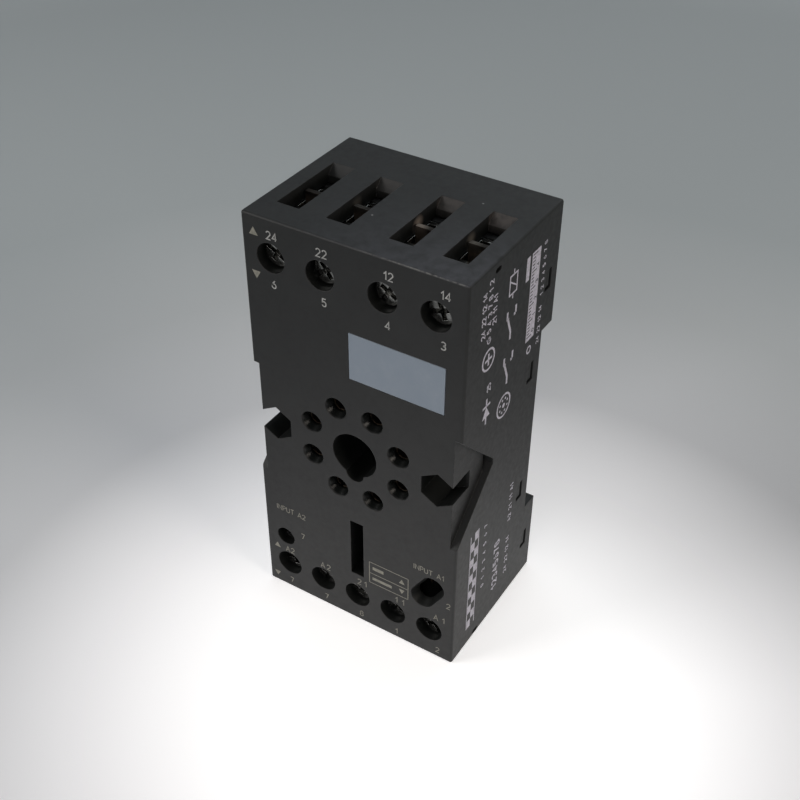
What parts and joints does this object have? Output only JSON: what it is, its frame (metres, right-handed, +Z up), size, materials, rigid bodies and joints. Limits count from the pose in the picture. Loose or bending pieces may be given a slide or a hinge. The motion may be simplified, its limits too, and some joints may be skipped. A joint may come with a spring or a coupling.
{
  "type": "relay socket",
  "caption": "Black plug-in relay socket with a keyed ring of pin contacts, rising-cage screw clamps at both ends and a sprung rail latch.",
  "frame": {"origin": "middle of the foot end's bounding box, on the surface that the socket stands on", "axes": "+Z up along the socket's length, plug-in face towards -Y, rail side towards +Y, X across the width"},
  "size_m": [0.038, 0.028, 0.076],
  "materials": {
    "body_plastic": "moulded, fine matt texture",
    "cover_plastic": "moulded, matt",
    "marking_plastic": "plain, satin",
    "latch_plastic": "moulded, matt",
    "spring_steel": "drawn wire",
    "screw_steel": "zinc plated",
    "cage_steel": "zinc plated",
    "sleeve_bronze": "rolled strip",
    "strap_brass": "rolled strip"
  },
  "bodies": {
    "body": {"housing": "body_plastic", "rear_cover": "cover_plastic", "marking_panel": "marking_plastic", "latch_spring": "spring_steel", "contact_sleeve_1": "sleeve_bronze", "contact_sleeve_2": "sleeve_bronze", "contact_sleeve_3": "sleeve_bronze", "contact_sleeve_4": "sleeve_bronze", "contact_sleeve_5": "sleeve_bronze", "contact_sleeve_6": "sleeve_bronze", "contact_sleeve_7": "sleeve_bronze", "contact_sleeve_8": "sleeve_bronze", "contact_strap_1": "strap_brass", "contact_strap_2": "strap_brass", "contact_strap_3": "strap_brass", "contact_strap_4": "strap_brass", "contact_strap_5": "strap_brass", "contact_strap_6": "strap_brass", "contact_strap_7": "strap_brass", "contact_strap_8": "strap_brass", "module_clip_a1": "sleeve_bronze", "module_clip_a2": "sleeve_bronze"},
    "latch": {"din_latch": "latch_plastic"},
    "screw_24": {"terminal_screw_24": "screw_steel"},
    "cage_24": {"clamp_cage_24": "cage_steel"},
    "screw_22": {"terminal_screw_22": "screw_steel"},
    "cage_22": {"clamp_cage_22": "cage_steel"},
    "screw_12": {"terminal_screw_12": "screw_steel"},
    "cage_12": {"clamp_cage_12": "cage_steel"},
    "screw_14": {"terminal_screw_14": "screw_steel"},
    "cage_14": {"clamp_cage_14": "cage_steel"},
    "screw_a2_left": {"terminal_screw_a2_left": "screw_steel"},
    "cage_a2_left": {"clamp_cage_a2_left": "cage_steel"},
    "screw_a2_right": {"terminal_screw_a2_right": "screw_steel"},
    "cage_a2_right": {"clamp_cage_a2_right": "cage_steel"},
    "screw_21": {"terminal_screw_21": "screw_steel"},
    "cage_21": {"clamp_cage_21": "cage_steel"},
    "screw_11": {"terminal_screw_11": "screw_steel"},
    "cage_11": {"clamp_cage_11": "cage_steel"},
    "screw_a1": {"terminal_screw_a1": "screw_steel"},
    "cage_a1": {"clamp_cage_a1": "cage_steel"}
  },
  "joints": [
    {"name": "latch_slide", "type": "slide", "parent": "body", "child": "latch", "axis": [0, 0, -1], "range_m": [0, 0.003], "stiffness_N_per_m": 500, "springref_m": -0.003, "deforming": ["latch_spring"]},
    {"name": "turn_24", "type": "hinge", "parent": "body", "child": "screw_24", "pos_m": [-0.014, -0.008, 0.0695], "axis": [0, 1, 0], "range_deg": [0, 2304]},
    {"name": "rise_24", "type": "slide", "parent": "body", "child": "cage_24", "axis": [0, -1, 0], "range_m": [0, 0.0032]},
    {"name": "turn_22", "type": "hinge", "parent": "body", "child": "screw_22", "pos_m": [-0.0053, -0.008, 0.0695], "axis": [0, 1, 0], "range_deg": [0, 2304]},
    {"name": "rise_22", "type": "slide", "parent": "body", "child": "cage_22", "axis": [0, -1, 0], "range_m": [0, 0.0032]},
    {"name": "turn_12", "type": "hinge", "parent": "body", "child": "screw_12", "pos_m": [0.0053, -0.008, 0.0695], "axis": [0, 1, 0], "range_deg": [0, 2304]},
    {"name": "rise_12", "type": "slide", "parent": "body", "child": "cage_12", "axis": [0, -1, 0], "range_m": [0, 0.0032]},
    {"name": "turn_14", "type": "hinge", "parent": "body", "child": "screw_14", "pos_m": [0.014, -0.008, 0.0695], "axis": [0, 1, 0], "range_deg": [0, 2304]},
    {"name": "rise_14", "type": "slide", "parent": "body", "child": "cage_14", "axis": [0, -1, 0], "range_m": [0, 0.0032]},
    {"name": "turn_a2_left", "type": "hinge", "parent": "body", "child": "screw_a2_left", "pos_m": [-0.0144, -0.008, 0.0061], "axis": [0, 1, 0], "range_deg": [0, 2304]},
    {"name": "rise_a2_left", "type": "slide", "parent": "body", "child": "cage_a2_left", "axis": [0, -1, 0], "range_m": [0, 0.0032]},
    {"name": "turn_a2_right", "type": "hinge", "parent": "body", "child": "screw_a2_right", "pos_m": [-0.0072, -0.008, 0.0061], "axis": [0, 1, 0], "range_deg": [0, 2304]},
    {"name": "rise_a2_right", "type": "slide", "parent": "body", "child": "cage_a2_right", "axis": [0, -1, 0], "range_m": [0, 0.0032]},
    {"name": "turn_21", "type": "hinge", "parent": "body", "child": "screw_21", "pos_m": [0, -0.008, 0.0061], "axis": [0, 1, 0], "range_deg": [0, 2304]},
    {"name": "rise_21", "type": "slide", "parent": "body", "child": "cage_21", "axis": [0, -1, 0], "range_m": [0, 0.0032]},
    {"name": "turn_11", "type": "hinge", "parent": "body", "child": "screw_11", "pos_m": [0.0072, -0.008, 0.0061], "axis": [0, 1, 0], "range_deg": [0, 2304]},
    {"name": "rise_11", "type": "slide", "parent": "body", "child": "cage_11", "axis": [0, -1, 0], "range_m": [0, 0.0032]},
    {"name": "turn_a1", "type": "hinge", "parent": "body", "child": "screw_a1", "pos_m": [0.0144, -0.008, 0.0061], "axis": [0, 1, 0], "range_deg": [0, 2304]},
    {"name": "rise_a1", "type": "slide", "parent": "body", "child": "cage_a1", "axis": [0, -1, 0], "range_m": [0, 0.0032]}
  ],
  "couplings": [
    {"joint": "turn_24", "follows": "rise_24", "rad_per_m": 12566},
    {"joint": "turn_22", "follows": "rise_22", "rad_per_m": 12566},
    {"joint": "turn_12", "follows": "rise_12", "rad_per_m": 12566},
    {"joint": "turn_14", "follows": "rise_14", "rad_per_m": 12566},
    {"joint": "turn_a2_left", "follows": "rise_a2_left", "rad_per_m": 12566},
    {"joint": "turn_a2_right", "follows": "rise_a2_right", "rad_per_m": 12566},
    {"joint": "turn_21", "follows": "rise_21", "rad_per_m": 12566},
    {"joint": "turn_11", "follows": "rise_11", "rad_per_m": 12566},
    {"joint": "turn_a1", "follows": "rise_a1", "rad_per_m": 12566}
  ]
}
